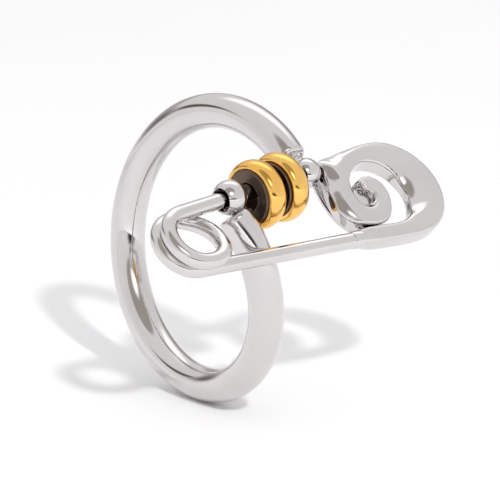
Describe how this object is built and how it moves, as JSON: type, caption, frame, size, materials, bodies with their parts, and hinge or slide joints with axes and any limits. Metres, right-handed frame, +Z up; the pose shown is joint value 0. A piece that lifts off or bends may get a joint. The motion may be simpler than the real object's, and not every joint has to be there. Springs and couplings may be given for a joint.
{
  "type": "safety-pin finger ring",
  "caption": "Open wire finger ring with drilled end balls carrying a coiled safety pin, a scroll clasp and gold-rimmed beads that slide and turn.",
  "frame": {"origin": "centre of the hoop, on the finger's axis", "axes": "+X along the finger's axis towards the clasp, +Z up to the top of the hoop, -Y towards the pin and the wearer's view"},
  "size_m": [0.0259, 0.0252, 0.0226],
  "materials": {
    "hoop": "mirror-polished stainless steel",
    "left_end_ball": "mirror-polished stainless steel",
    "right_end_ball": "mirror-polished stainless steel",
    "right_neck": "mirror-polished stainless steel",
    "pin_arm": "mirror-polished stainless steel",
    "pin_coil": "mirror-polished stainless spring steel",
    "pin_bar": "mirror-polished stainless steel",
    "bar_collar": "mirror-polished stainless steel",
    "clasp_scroll": "mirror-polished stainless steel",
    "clasp_keeper": "mirror-polished stainless steel",
    "left_bead_core": "blackened, semi-bright steel",
    "left_bead_rim": "polished gold plating",
    "right_bead_core": "blackened, semi-bright steel",
    "right_bead_rim": "polished gold plating"
  },
  "bodies": {
    "hoop": {"hoop": "hoop", "left_end_ball": "left_end_ball", "right_end_ball": "right_end_ball", "right_neck": "right_neck"},
    "pin": {"pin_arm": "pin_arm", "pin_coil": "pin_coil"},
    "clasp": {"pin_bar": "pin_bar", "bar_collar": "bar_collar", "clasp_scroll": "clasp_scroll", "clasp_keeper": "clasp_keeper"},
    "left_bead": {"left_bead_core": "left_bead_core"},
    "left_rim": {"left_bead_rim": "left_bead_rim"},
    "right_bead": {"right_bead_core": "right_bead_core"},
    "right_rim": {"right_bead_rim": "right_bead_rim"}
  },
  "joints": [
    {"name": "pin_swing", "type": "hinge", "parent": "hoop", "child": "pin", "pos_m": [-0.00349, -0.00834, 0.00622], "axis": [-0.9961, -0.0638, -0.0601], "range_deg": [0, 110]},
    {"name": "pin_open", "type": "hinge", "parent": "pin", "child": "clasp", "pos_m": [-0.0084, -0.01026, 0.00441], "axis": [0, 0.6858, -0.7278], "range_deg": [0, 20], "deforming": ["pin_coil"]},
    {"name": "left_bead_slide", "type": "slide", "parent": "hoop", "child": "left_bead", "axis": [0.9961, 0.0638, 0.0601], "range_m": [-0.00012, 0.00006]},
    {"name": "left_bead_turn", "type": "hinge", "parent": "left_bead", "child": "left_rim", "pos_m": [-0.00078, -0.00817, 0.00598], "axis": [0.9961, 0.0638, 0.0601], "continuous": true},
    {"name": "right_bead_slide", "type": "slide", "parent": "hoop", "child": "right_bead", "axis": [0.9961, 0.0638, 0.0601], "range_m": [-0.00006, 0.0004]},
    {"name": "right_bead_turn", "type": "hinge", "parent": "right_bead", "child": "right_rim", "pos_m": [0.00159, -0.00801, 0.00613], "axis": [0.9961, 0.0638, 0.0601], "continuous": true}
  ]
}
